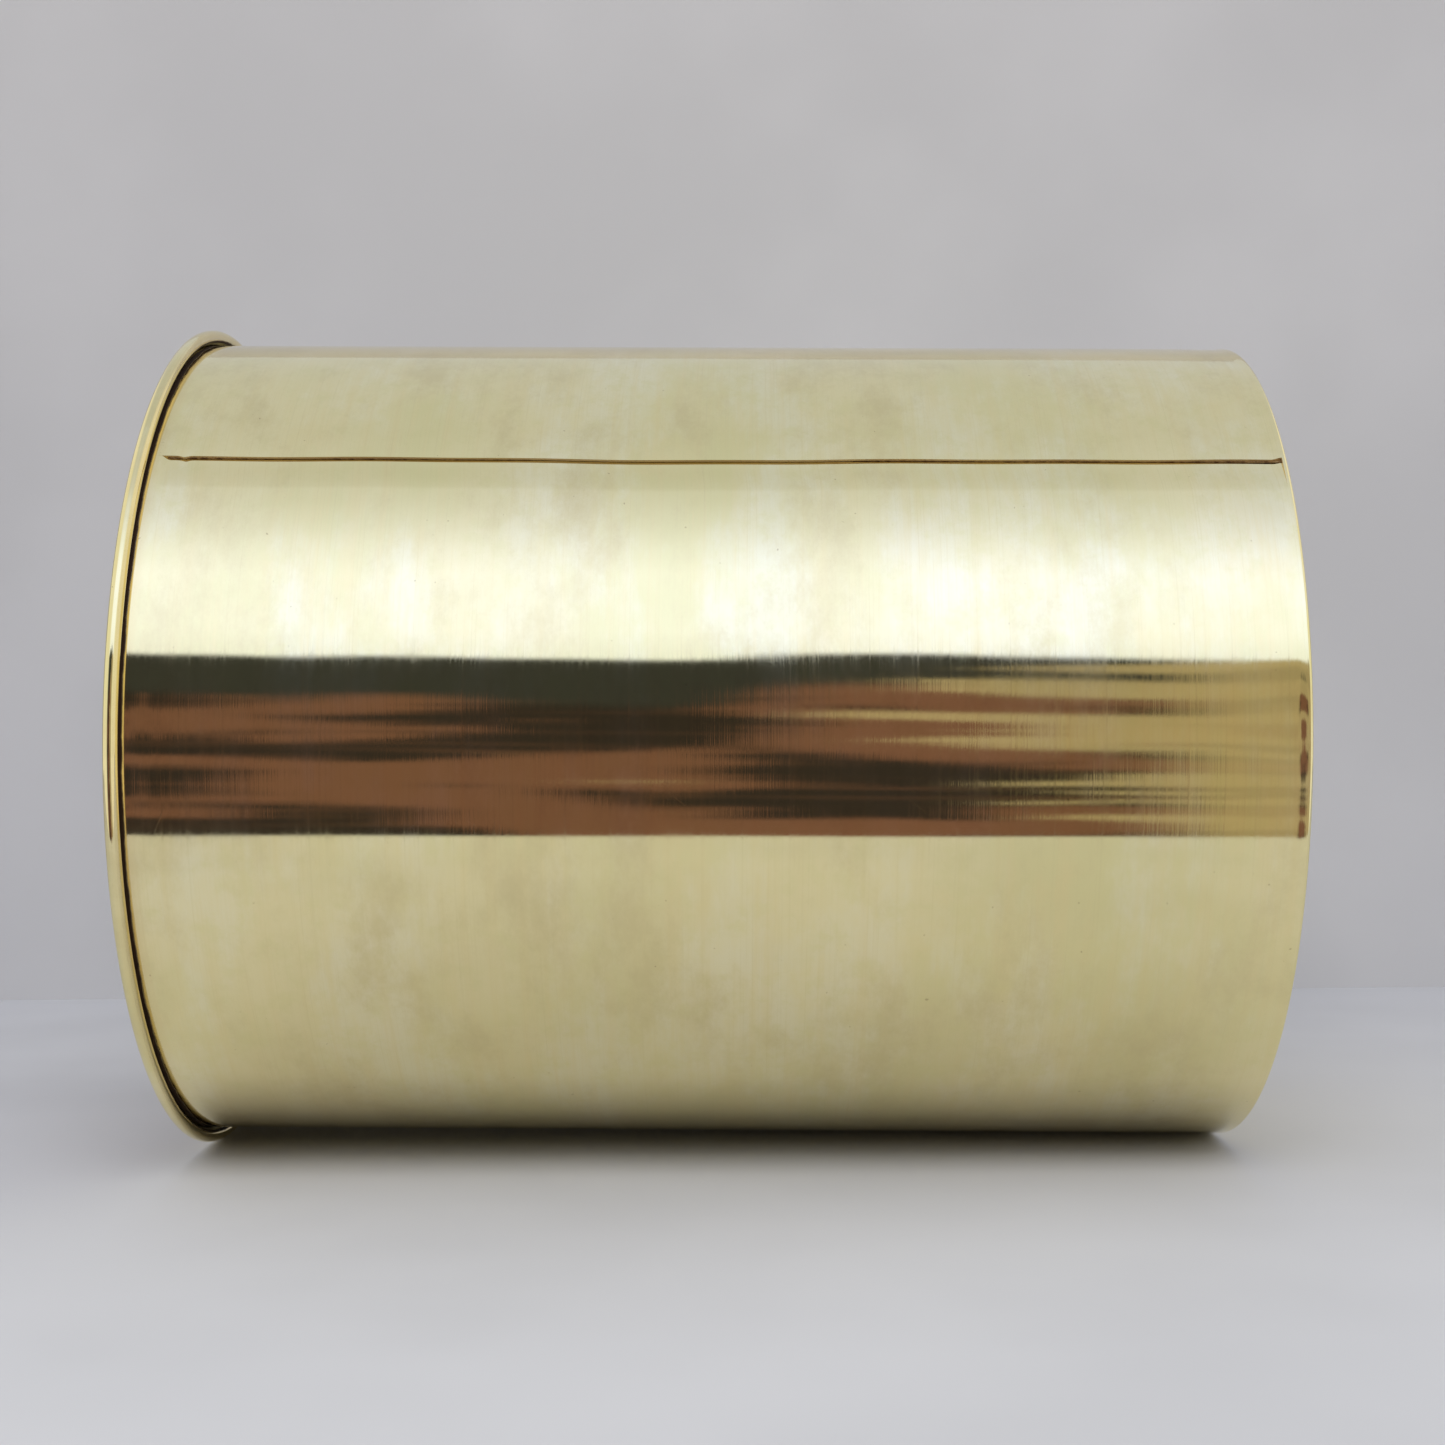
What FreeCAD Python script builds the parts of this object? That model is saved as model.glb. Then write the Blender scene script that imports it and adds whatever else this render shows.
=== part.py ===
import FreeCAD, Part
import math
import os
import Sketcher
from FreeCAD import Placement, Rotation, Vector

# Brass planter pot, made the way a sheet-metal shop makes it.  One brass sheet is rolled into a cylinder and
# brazed along a lap seam.  Its top edge is curled outward over a steel wire.  The wall stands on a base disc
# and is brazed to it inside the corner.
#
# Frame: millimetres, +Z up the pot's axis, origin at the centre of the face that the pot stands on.

doc = FreeCAD.newDocument("brass_planter_pot")

# ---------------------------------------- driving dimensions, mm and degrees
DIMENSIONS = [
    ("body_dia", 200.0, "outside diameter of the rolled wall"),
    ("pot_height", 256.0, "from the standing face to the top of the rim"),
    ("wall_sheet", 0.56, "thickness of the wall's sheet, 24 gauge"),
    ("wire_dia", 2.0, "steel wire inside the rim's curl"),
    ("wire_room", 0.03, "room between the wire and the curl"),
    ("curl_reach", 1.2, "flat run over the rim between the wall's bend and the curl"),
    ("curl_past", 60.0, "angle that the curl's lip goes past straight down"),
    ("lap_notch", 6.0, "how far below the top of the rim the lap ends"),
    ("lap_angle", 5.0, "angle of wall that the lap covers"),
    ("dip_shift", 60.0, "how far off the axis the dipping leaf's arc is centred"),
    ("seam_gap", 0.12, "room for braze between the two leaves"),
    ("seam_turn", -51.0, "where the outer leaf's edge lies, from +X towards +Y"),
    ("disc_sheet", 1.2, "thickness of the base disc"),
    ("disc_round", 0.8, "radius of the disc's lower edge"),
    ("kick_height", 2.0, "how far the middle of the disc is raised"),
    ("kick_radius", 84.0, "radius of the raised middle, at its foot"),
    ("kick_slope", 6.0, "width of the slope round the raised middle"),
    ("fillet_leg", 1.5, "leg of the braze fillet in the base corner"),
    ("wire_gap", 0.6, "angle between the wire's two ends"),
    ("wire_turn", 100.0, "where the wire's ends meet, from +X towards +Y"),
]

sheet = doc.addObject("Spreadsheet::Sheet", "dims")
for row, (alias, value, meaning) in enumerate(DIMENSIONS, start=1):
    sheet.set(f"A{row}", alias)
    sheet.set(f"B{row}", str(value))
    sheet.set(f"C{row}", meaning)
    sheet.setAlias(f"B{row}", alias)
doc.recompute()


def dim(alias):
    """The value of a driving dimension."""
    return float(sheet.get(alias))


# Sizes that follow from the driving dimensions: the value draws a sketch, the expression binds it.
WALL_OUT = dim("body_dia") / 2
WALL_IN = WALL_OUT - dim("wall_sheet")
LEAF_OUT = WALL_IN - dim("seam_gap")
LEAF_IN = LEAF_OUT - dim("wall_sheet")
DIP_OUT = WALL_OUT - dim("dip_shift")
DIP_IN = DIP_OUT - dim("wall_sheet")
CURL_IN = dim("wire_dia") / 2 + dim("wire_room")
CURL_OUT = CURL_IN + dim("wall_sheet")
BEND_R = WALL_OUT + CURL_IN
CURL_R = BEND_R + dim("curl_reach")
CURL_Z = dim("pot_height") - CURL_OUT

WALL_OUT_X = "dims.body_dia / 2"
WALL_IN_X = f"{WALL_OUT_X} - dims.wall_sheet"
LEAF_OUT_X = f"{WALL_IN_X} - dims.seam_gap"
LEAF_IN_X = f"{LEAF_OUT_X} - dims.wall_sheet"
CURL_IN_X = "(dims.wire_dia / 2 + dims.wire_room)"
CURL_OUT_X = f"({CURL_IN_X} + dims.wall_sheet)"
BEND_R_X = f"{WALL_OUT_X} + {CURL_IN_X}"
CURL_R_X = f"{BEND_R_X} + dims.curl_reach"
CURL_Z_X = f"dims.pot_height - {CURL_OUT_X}"
NOTCH_Z_X = "dims.pot_height - dims.lap_notch"
LAP_LENGTH_X = f"{NOTCH_Z_X} - dims.disc_sheet"

# ---------------------------------------- sketch helpers
START, END, CENTRE = 1, 2, 3
ORIGIN_POINT = (-1, 1)
X_AXIS, Y_AXIS = -1, -2
AXIS = Vector(0, 0, 1)


def new_body(label):
    body = doc.addObject("PartDesign::Body", label)
    body.Label = label
    return body


def new_sketch(body, name, plane):
    """A sketch on one of the body's own origin planes."""
    sketch = body.newObject("Sketcher::SketchObject", name)
    support = next(feature for feature in body.Origin.OriginFeatures if feature.Role == plane)
    sketch.AttachmentSupport = [(support, "")]
    sketch.MapMode = "FlatFace"
    return sketch


def polar(radius, angle):
    """A point in the sketch's plane, at an angle in degrees round the origin."""
    return Vector(radius * math.cos(math.radians(angle)), radius * math.sin(math.radians(angle)), 0)


def line(sketch, start, end, construction=False):
    return sketch.addGeometry(Part.LineSegment(start, end), construction)


def arc(sketch, centre, radius, start, end):
    """An arc that runs counter-clockwise from start to end, in degrees."""
    circle = Part.Circle(centre, AXIS, radius)
    return sketch.addGeometry(Part.ArcOfCircle(circle, math.radians(start), math.radians(end)), False)


def constrain(sketch, kind, *args, to=None):
    """Adds a constraint, and binds its value to an expression if one is given."""
    index = sketch.addConstraint(Sketcher.Constraint(kind, *args))
    if to:
        sketch.setExpression(f"Constraints[{index}]", to)


def join(sketch, *pairs):
    """Makes points coincide: each pair is (geometry, point, geometry, point)."""
    for pair in pairs:
        constrain(sketch, "Coincident", *pair)


def place(sketch, geometry, point, x=None, y=None):
    """Fixes a point of a sketch: x and y are (value, expression)."""
    for kind, size in (("DistanceX", x), ("DistanceY", y)):
        if size:
            constrain(sketch, kind, *ORIGIN_POINT, geometry, point, size[0], to=size[1])


def revolve(body, sketch, name, angle="360"):
    """Turns a section in the XZ plane about the pot's axis."""
    feature = body.newObject("PartDesign::Revolution", name)
    feature.Profile = sketch
    feature.ReferenceAxis = (sketch, ["V_Axis"])
    feature.setExpression("Angle", angle)


# ---------------------------------------- where the leaves of the lap lie
def crossing(radius, dip_radius):
    """Angle, seen from the axis, where a circle on the axis crosses the dipping leaf's arc."""
    shift = dim("dip_shift")
    along = (radius**2 - dip_radius**2 + shift**2) / (2 * shift)
    return math.degrees(math.acos(along / radius))


def seen_from_dip(radius, angle):
    """The same point's angle, seen from the centre of the dipping leaf's arc."""
    point = polar(radius, angle)
    return math.degrees(math.atan2(point.y, point.x - dim("dip_shift")))


SEAM_EDGE = crossing(LEAF_OUT, DIP_OUT)
LEAF_BEND = crossing(LEAF_IN, DIP_IN)
LEAF_END = SEAM_EDGE + dim("lap_angle")


# ---------------------------------------- body_shell
def lap_section(body):
    """Section of the rolled sheet: a full turn whose last stretch dips under the first to make the lap.

    The dip starts on the X axis.  Its arc is centred dip_shift along X, so it leaves the round wall smoothly.
    """
    sketch = new_sketch(body, "lap_section", "XY_Plane")
    sketch.setExpression("AttachmentOffset.Base.z", "dims.disc_sheet")
    axis = Vector(0, 0, 0)
    dip_centre = Vector(dim("dip_shift"), 0, 0)

    wall_out = arc(sketch, axis, WALL_OUT, SEAM_EDGE, 360)
    dip_out = arc(sketch, dip_centre, DIP_OUT, 0, seen_from_dip(LEAF_OUT, SEAM_EDGE))
    leaf_out = arc(sketch, axis, LEAF_OUT, SEAM_EDGE, LEAF_END)
    leaf_edge = line(sketch, polar(LEAF_OUT, LEAF_END), polar(LEAF_IN, LEAF_END))
    leaf_in = arc(sketch, axis, LEAF_IN, LEAF_BEND, LEAF_END)
    dip_in = arc(sketch, dip_centre, DIP_IN, 0, seen_from_dip(LEAF_IN, LEAF_BEND))
    wall_in = arc(sketch, axis, WALL_IN, SEAM_EDGE, 360)
    raw_edge = line(sketch, polar(WALL_OUT, SEAM_EDGE), polar(WALL_IN, SEAM_EDGE))
    to_seam = line(sketch, axis, polar(LEAF_OUT, SEAM_EDGE), True)
    to_end = line(sketch, axis, polar(LEAF_IN, LEAF_END), True)

    join(
        sketch,
        (wall_out, END, dip_out, START),
        (dip_out, END, leaf_out, START),
        (leaf_out, END, leaf_edge, START),
        (leaf_edge, END, leaf_in, END),
        (leaf_in, START, dip_in, END),
        (dip_in, START, wall_in, END),
        (wall_in, START, raw_edge, END),
        (raw_edge, START, wall_out, START),
        (to_seam, START, *ORIGIN_POINT),
        (to_seam, END, leaf_out, START),
        (to_end, START, *ORIGIN_POINT),
        (to_end, END, leaf_edge, END),
        (dip_in, CENTRE, dip_out, CENTRE),
    )
    for round_part in (wall_out, wall_in, leaf_out, leaf_in):
        join(sketch, (round_part, CENTRE, *ORIGIN_POINT))
    for geometry, point in ((dip_out, CENTRE), (dip_out, START), (dip_in, START)):
        constrain(sketch, "PointOnObject", geometry, point, X_AXIS)
    for point in (START, END):
        constrain(sketch, "PointOnObject", raw_edge, point, to_seam)
    constrain(sketch, "PointOnObject", leaf_edge, START, to_end)
    place(sketch, dip_out, CENTRE, x=(dip_centre.x, "dims.dip_shift"))
    constrain(sketch, "Radius", wall_out, WALL_OUT, to=WALL_OUT_X)
    constrain(sketch, "Radius", wall_in, WALL_IN, to=WALL_IN_X)
    constrain(sketch, "Radius", leaf_out, LEAF_OUT, to=LEAF_OUT_X)
    constrain(sketch, "Radius", leaf_in, LEAF_IN, to=LEAF_IN_X)
    lap = math.radians(dim("lap_angle"))
    constrain(sketch, "Angle", to_seam, START, to_end, START, lap, to="dims.lap_angle * 1 deg")
    return sketch


def curl_section(body):
    """Section of the rim: the wall bends outward, then curls nearly shut over the wire."""
    sketch = new_sketch(body, "curl_section", "XZ_Plane")
    lip_angle = -90 - dim("curl_past")
    bend_centre = Vector(BEND_R, CURL_Z, 0)
    curl_centre = Vector(CURL_R, CURL_Z, 0)
    notch_z = dim("pot_height") - dim("lap_notch")
    lip_out = curl_centre + polar(CURL_OUT, lip_angle)
    lip_in = curl_centre + polar(CURL_IN, lip_angle)
    foot_out = Vector(WALL_OUT, notch_z, 0)
    foot_in = Vector(WALL_IN, notch_z, 0)

    outside = line(sketch, Vector(WALL_OUT, CURL_Z, 0), foot_out)
    foot = line(sketch, foot_out, foot_in)
    inside = line(sketch, foot_in, Vector(WALL_IN, CURL_Z, 0))
    over_bend = arc(sketch, bend_centre, CURL_OUT, 90, 180)
    over_run = line(sketch, bend_centre + polar(CURL_OUT, 90), curl_centre + polar(CURL_OUT, 90))
    over_curl = arc(sketch, curl_centre, CURL_OUT, lip_angle, 90)
    lip = line(sketch, lip_out, lip_in)
    under_curl = arc(sketch, curl_centre, CURL_IN, lip_angle, 90)
    under_run = line(sketch, curl_centre + polar(CURL_IN, 90), bend_centre + polar(CURL_IN, 90))
    under_bend = arc(sketch, bend_centre, CURL_IN, 90, 180)
    join(
        sketch,
        (outside, END, foot, START),
        (foot, END, inside, START),
        (inside, END, over_bend, END),
        (over_bend, START, over_run, START),
        (over_run, END, over_curl, END),
        (over_curl, START, lip, START),
        (lip, END, under_curl, START),
        (under_curl, END, under_run, START),
        (under_run, END, under_bend, START),
        (under_bend, END, outside, START),
        (over_bend, CENTRE, under_bend, CENTRE),
        (over_curl, CENTRE, under_curl, CENTRE),
    )
    constrain(sketch, "Vertical", outside)
    constrain(sketch, "Vertical", inside)
    constrain(sketch, "Horizontal", foot)
    for bend in (over_bend, under_bend):
        constrain(sketch, "Horizontal", bend, CENTRE, bend, END)
        constrain(sketch, "Vertical", bend, CENTRE, bend, START)
    for curl in (over_curl, under_curl):
        constrain(sketch, "Vertical", curl, CENTRE, curl, END)
    for geometry, radius, expression in (
        (over_bend, CURL_OUT, CURL_OUT_X),
        (over_curl, CURL_OUT, CURL_OUT_X),
        (under_bend, CURL_IN, CURL_IN_X),
        (under_curl, CURL_IN, CURL_IN_X),
    ):
        constrain(sketch, "Radius", geometry, radius, to=expression)
    place(sketch, over_bend, CENTRE, x=(BEND_R, BEND_R_X), y=(CURL_Z, CURL_Z_X))
    place(sketch, over_curl, CENTRE, x=(CURL_R, CURL_R_X), y=(CURL_Z, CURL_Z_X))
    place(sketch, over_curl, START, y=(lip_out.y, f"{CURL_Z_X} - {CURL_OUT_X} * cos(dims.curl_past)"))
    place(sketch, under_curl, START, y=(lip_in.y, f"{CURL_Z_X} - {CURL_IN_X} * cos(dims.curl_past)"))
    place(sketch, foot, START, y=(notch_z, NOTCH_Z_X))
    return sketch


def make_body_shell():
    body = new_body("body_shell")
    wall = body.newObject("PartDesign::Pad", "rolled_wall")
    wall.Profile = lap_section(body)
    wall.setExpression("Length", LAP_LENGTH_X)
    revolve(body, curl_section(body), "rim_curl")
    body.Placement = SEAM_PLACEMENT
    return body


# ---------------------------------------- rim_wire
def make_rim_wire():
    """The steel wire inside the curl, bent to a ring whose two ends almost meet."""
    body = new_body("rim_wire")
    sketch = new_sketch(body, "wire_section", "XZ_Plane")
    radius = dim("wire_dia") / 2
    circle = sketch.addGeometry(Part.Circle(Vector(CURL_R, CURL_Z, 0), AXIS, radius), False)
    constrain(sketch, "Radius", circle, radius, to="dims.wire_dia / 2")
    place(sketch, circle, CENTRE, x=(CURL_R, CURL_R_X), y=(CURL_Z, CURL_Z_X))
    revolve(body, sketch, "bent_wire", "360 - dims.wire_gap")
    body.Placement = Placement(Vector(0, 0, 0), Rotation(AXIS, dim("wire_turn")))
    return body


# ---------------------------------------- base_disc
def make_base_disc():
    """The base: a disc as wide as the wall, its lower edge rounded and its middle raised so it can't rock."""
    body = new_body("base_disc")
    sketch = new_sketch(body, "disc_section", "XZ_Plane")
    thick, kick, edge = dim("disc_sheet"), dim("kick_height"), dim("disc_round")
    foot = dim("kick_radius")
    crown = foot - dim("kick_slope")
    crown_x = "dims.kick_radius - dims.kick_slope"
    top_x = "dims.kick_height + dims.disc_sheet"
    corners = [
        Vector(0, kick, 0),
        Vector(crown, kick, 0),
        Vector(foot, 0, 0),
        Vector(WALL_OUT - edge, 0, 0),
        Vector(WALL_OUT, edge, 0),
        Vector(WALL_OUT, thick, 0),
        Vector(foot, thick, 0),
        Vector(crown, kick + thick, 0),
        Vector(0, kick + thick, 0),
    ]
    rounded = 3
    edges = []
    for i, corner in enumerate(corners):
        if i == rounded:
            edges.append(arc(sketch, Vector(WALL_OUT - edge, edge, 0), edge, 270, 360))
        else:
            edges.append(line(sketch, corner, corners[(i + 1) % len(corners)]))
    for before, after in zip(edges, edges[1:] + edges[:1]):
        join(sketch, (before, END, after, START))
    (under_middle, under_slope, under_ring, round_edge, side,
     top_ring, top_slope, top_middle, at_axis) = edges

    constrain(sketch, "Vertical", round_edge, CENTRE, round_edge, START)
    constrain(sketch, "Horizontal", round_edge, CENTRE, round_edge, END)
    constrain(sketch, "Radius", round_edge, edge, to="dims.disc_round")
    constrain(sketch, "Vertical", side)
    for level in (under_middle, under_ring, top_ring, top_middle):
        constrain(sketch, "Horizontal", level)
    for on_axis in (under_middle, at_axis):
        constrain(sketch, "PointOnObject", on_axis, START, Y_AXIS)
    constrain(sketch, "PointOnObject", under_ring, START, X_AXIS)
    place(sketch, under_slope, START, x=(crown, crown_x), y=(kick, "dims.kick_height"))
    place(sketch, under_ring, START, x=(foot, "dims.kick_radius"))
    place(sketch, side, END, x=(WALL_OUT, WALL_OUT_X), y=(thick, "dims.disc_sheet"))
    place(sketch, top_slope, START, x=(foot, "dims.kick_radius"))
    place(sketch, top_middle, START, x=(crown, crown_x), y=(kick + thick, top_x))
    revolve(body, sketch, "pressed_disc")
    return body


# ---------------------------------------- brazes
def make_seam_braze():
    """The film of braze between the two leaves of the lap."""
    radii = {"film_outer": WALL_IN_X, "film_inner": LEAF_OUT_X}
    rounds = []
    for name, radius in radii.items():
        cylinder = doc.addObject("Part::Cylinder", name)
        cylinder.setExpression("Radius", radius)
        cylinder.setExpression("Height", LAP_LENGTH_X)
        cylinder.setExpression("Placement.Base.z", "dims.disc_sheet")
        rounds.append(cylinder)
    rounds[0].setExpression("Angle", "dims.lap_angle")
    film = doc.addObject("Part::Cut", "seam_braze")
    film.Base, film.Tool = rounds
    film.Placement = Placement(Vector(0, 0, 0), Rotation(AXIS, dim("seam_turn")))
    return film


def make_base_braze(body_shell, seam_braze):
    """The ring of braze in the corner of wall and base, shaped round the inner leaf of the lap."""
    ring = new_body("braze_ring")
    sketch = new_sketch(ring, "ring_section", "XZ_Plane")
    leg, low = dim("fillet_leg"), dim("disc_sheet")
    corner, toe, head = Vector(WALL_IN, low, 0), Vector(WALL_IN - leg, low, 0), Vector(WALL_IN, low + leg, 0)
    level = line(sketch, toe, corner)
    upright = line(sketch, corner, head)
    slope = line(sketch, head, toe)
    join(sketch, (level, END, upright, START), (upright, END, slope, START), (slope, END, level, START))
    constrain(sketch, "Horizontal", level)
    constrain(sketch, "Vertical", upright)
    place(sketch, level, START, x=(toe.x, f"{WALL_IN_X} - dims.fillet_leg"))
    place(sketch, level, END, x=(corner.x, WALL_IN_X), y=(low, "dims.disc_sheet"))
    place(sketch, upright, END, y=(head.y, "dims.disc_sheet + dims.fillet_leg"))
    revolve(ring, sketch, "fillet_ring")
    # The lap's own film fills the room between the leaves, so it is left out of the ring as well.
    lap_parts = doc.addObject("Part::MultiFuse", "lap_parts")
    lap_parts.Shapes = [body_shell, seam_braze]
    trimmed = doc.addObject("Part::Cut", "trimmed_ring")
    trimmed.Base, trimmed.Tool = ring, lap_parts
    doc.recompute()
    # The cut also leaves a sliver outside the dipping leaf, where no braze is, so only the ring is kept.
    braze = doc.addObject("Part::Feature", "base_braze")
    braze.Shape = max(trimmed.Shape.Solids, key=lambda solid: solid.Volume)
    return braze


# ---------------------------------------- build, check and export
SEAM_PLACEMENT = Placement(Vector(0, 0, 0), Rotation(AXIS, dim("seam_turn") - SEAM_EDGE))

body_shell = make_body_shell()
rim_wire = make_rim_wire()
base_disc = make_base_disc()
seam_braze = make_seam_braze()
base_braze = make_base_braze(body_shell, seam_braze)
doc.recompute()

for obj in doc.Objects:
    failed = {"Invalid", "Error"} & set(obj.State)
    if failed:
        raise SystemExit(f"{obj.Name} is {sorted(failed)}")

parts = [body_shell, rim_wire, base_disc, seam_braze, base_braze]
for part in parts:
    if part.Shape.isNull() or not part.Shape.isValid() or not part.Shape.Solids:
        raise SystemExit(f"{part.Label} has no valid solid")

os.makedirs("parts", exist_ok=True)
for part in parts:
    part.Shape.exportStep(f"parts/{part.Label}.step")
    box = part.Shape.BoundBox
    print(
        f"{part.Label}: {len(part.Shape.Solids)} solid, {part.Shape.Volume:.1f} mm3,"
        f" {box.XLength:.2f} x {box.YLength:.2f} x {box.ZLength:.2f} mm from z {box.ZMin:.2f}"
    )
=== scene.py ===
import math
from collections import namedtuple

import bpy
from mathutils import Matrix, Vector


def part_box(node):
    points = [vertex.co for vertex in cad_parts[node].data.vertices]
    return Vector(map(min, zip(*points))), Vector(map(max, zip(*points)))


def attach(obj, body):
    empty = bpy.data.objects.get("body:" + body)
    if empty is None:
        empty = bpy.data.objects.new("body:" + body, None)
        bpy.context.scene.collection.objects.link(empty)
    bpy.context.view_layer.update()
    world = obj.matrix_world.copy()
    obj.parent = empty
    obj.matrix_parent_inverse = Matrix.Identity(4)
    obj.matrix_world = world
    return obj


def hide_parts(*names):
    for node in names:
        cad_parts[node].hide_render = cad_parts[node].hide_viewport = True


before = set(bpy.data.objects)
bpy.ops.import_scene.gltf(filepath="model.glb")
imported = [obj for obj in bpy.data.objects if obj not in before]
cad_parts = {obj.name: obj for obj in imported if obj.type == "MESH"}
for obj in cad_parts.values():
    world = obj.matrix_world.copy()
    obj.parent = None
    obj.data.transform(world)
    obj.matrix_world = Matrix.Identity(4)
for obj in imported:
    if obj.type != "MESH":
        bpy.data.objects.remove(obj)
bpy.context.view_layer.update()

MM = 0.001
WHOLE_TURN = 2 * math.pi

# ------------------------------------------------------------------------------------- sizes, from the frame
SHELL_LOW, SHELL_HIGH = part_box("body_shell")
DISC_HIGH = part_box("base_disc")[1]
WIRE_LOW, WIRE_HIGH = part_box("rim_wire")

HEIGHT = SHELL_HIGH.z
RIM_OUT = SHELL_HIGH.x
WALL_OUT = DISC_HIGH.x
WALL_FOOT = SHELL_LOW.z
SHEET = 0.56 * MM
CURL_OUT = HEIGHT - (WIRE_LOW.z + WIRE_HIGH.z) / 2
CURL_IN = CURL_OUT - SHEET
CURL_Z = HEIGHT - CURL_OUT
CURL_R = RIM_OUT - CURL_OUT
BEND_R = WALL_OUT + CURL_IN
CURL_PAST = math.radians(60)

# The seam: the sheet dips before its own start and runs on under it, a sheet and a film of braze lower.
SEAM_AT = math.radians(-51.0)
LAP_ARC = math.radians(5.0)
DIP_ARC = math.radians(5.5)
LEAF_DROP = 0.68 * MM
SEAM_STOP = HEIGHT - 5.2 * MM
SEAM_FADE = 2 * MM
SHARP_CORNER = math.radians(35)

# A wave runs with the angle round the pot, or for the seam's edge with the share of the pot's height.  Its
# size is in mm, or for a ripple a share of BASE_RIPPLE.
Wave = namedtuple("Wave", "size rate phase")

# How the raw edge wanders along the pot's height, and its kink by the rim and hook by the base.
EDGE_WANDER = [Wave(0.32, 7.3, 0.9), Wave(0.16, 17.0, 2.0), Wave(0.09, 41.0, 0.0)]
KINK_AT, KINK_SIZE, KINK_LENGTH = HEIGHT - 10.5 * MM, -0.40, 0.9 * MM
HOOK_SIZE, HOOK_LENGTH = 0.55, 2.6 * MM

# How the wall stands off a true cylinder: waves round the wall, some twisting with height, and a base ripple.
TWO_LOBES, THREE_LOBES, THREE_LOBE_TWIST = Wave(0.05, 2, 0.7), Wave(0.03, 3, 0.0), 2.1
SHORT_WAVE, SHORT_TWIST, SHORT_RISE, SHORT_START = Wave(0.016, 9, 0.0), 31, 47, 1.3
RIPPLES, RIPPLE_INWARD = [Wave(0.6, 9, 0.4), Wave(0.4, 23, 1.9)], 0.5
BASE_RIPPLE, BASE_STRIP = 0.10 * MM, 11 * MM
FLUSH_AT_FOOT, FLUSH_AT_RIM = 2 * MM, 5 * MM

# The wall's mesh: fine rows by both ends, and columns that crowd over the lap and the dip.
WALL_TOP = HEIGHT - 4.4 * MM
FINE_FOOT, FINE_TOP = 6 * MM, 8 * MM
FINE_ROW, WIDE_ROW = 0.4 * MM, 2.8 * MM
WALL_STEP = math.radians(1.0)
LAP_COLUMNS, DIP_COLUMNS, UNDER_COLUMNS = 12, 28, 10

# The bead.  Shares are of the way along the rim's section, and bumps lift the lip by so many mm.
Bump = namedtuple("Bump", "at width size")
BURR = Bump(math.radians(-38), 0.012, 0.28)
WRINKLE = Bump(math.radians(-55), 0.02, 0.12)
LIP_SHARE, LIP_SPREAD, LIP_PUSH = 0.42, 0.08, 0.6
LIP_ROUND = 0.35
CURL_WAVES = [Wave(0.035, 7, 0.5), Wave(0.02, 19, 0.0)]
TOP_IS_EVEN = 0.4 * MM
BELOW_BEND = 0.3 * MM
BEND_STEPS_IN, CURL_STEPS_IN, CURL_STEPS_OUT, BEND_STEPS_OUT = 6, 20, 36, 12
RING_STEPS = 720

# The disc
DISC_ROUND = 0.8 * MM
KICK_CROWN, KICK_FOOT = 78 * MM, 84 * MM
SLOPE_STEP = 0.5 * MM
SPUN_RIPPLE, SPUN_PITCH = 0.02 * MM, 7 * MM
SPUN_STEP = SPUN_PITCH / 8
DISC_STEPS, ROUND_STEPS = 360, 8


def smooth(edge_low, edge_high, value):
    """0 below edge_low, 1 above edge_high, and a smooth rise between them."""
    t = min(max((value - edge_low) / (edge_high - edge_low), 0.0), 1.0)
    return t * t * (3 - 2 * t)


def swell(distance, spread):
    """1 at no distance, falling away smoothly on both sides."""
    return math.exp(-((distance / spread) ** 2))


def wave_sum(waves, place):
    return sum(wave.size * math.sin(wave.rate * place + wave.phase) for wave in waves)


def even_steps(low, high, step):
    count = max(2, round((high - low) / step) + 1)
    return [low + (high - low) * i / (count - 1) for i in range(count)]


# ---------------------------------------------------------------------------------------------- mesh helpers
def make_piece(name, points, faces, shade_smooth=True):
    """A mesh object in the row frame."""
    mesh = bpy.data.meshes.new(name)
    mesh.from_pydata(points, [], faces)
    mesh.validate()
    mesh.update()
    if shade_smooth:
        mesh.shade_smooth()
    piece = bpy.data.objects.new(name, mesh)
    bpy.context.scene.collection.objects.link(piece)
    return piece


def apply_modifiers(piece):
    """Make the modifiers' result the piece's own mesh, with its corners shaded sharp."""
    shaped = piece.evaluated_get(bpy.context.evaluated_depsgraph_get())
    mesh = bpy.data.meshes.new_from_object(shaped)
    piece.modifiers.clear()
    piece.data = mesh
    mesh.set_sharp_from_angle(angle=SHARP_CORNER)


def ring_faces(rows, columns):
    """Faces of a grid of points whose columns close into a ring."""
    faces = []
    for row in range(rows - 1):
        low, high = row * columns, (row + 1) * columns
        for column in range(columns):
            after = (column + 1) % columns
            faces.append((low + column, low + after, high + after, high + column))
    return faces


# ------------------------------------------------------------------------------------------ the rolled shell
def seam_angle(z):
    """Where the outer leaf's raw edge lies at a height: nearly straight, with a kink by the rim."""
    wander = wave_sum(EDGE_WANDER, z / HEIGHT)
    kink = KINK_SIZE * swell(z - KINK_AT, KINK_LENGTH)
    hook = HOOK_SIZE * (1 - smooth(WALL_FOOT, WALL_FOOT + HOOK_LENGTH, z))
    return SEAM_AT + (wander + kink + hook) * MM / WALL_OUT


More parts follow.
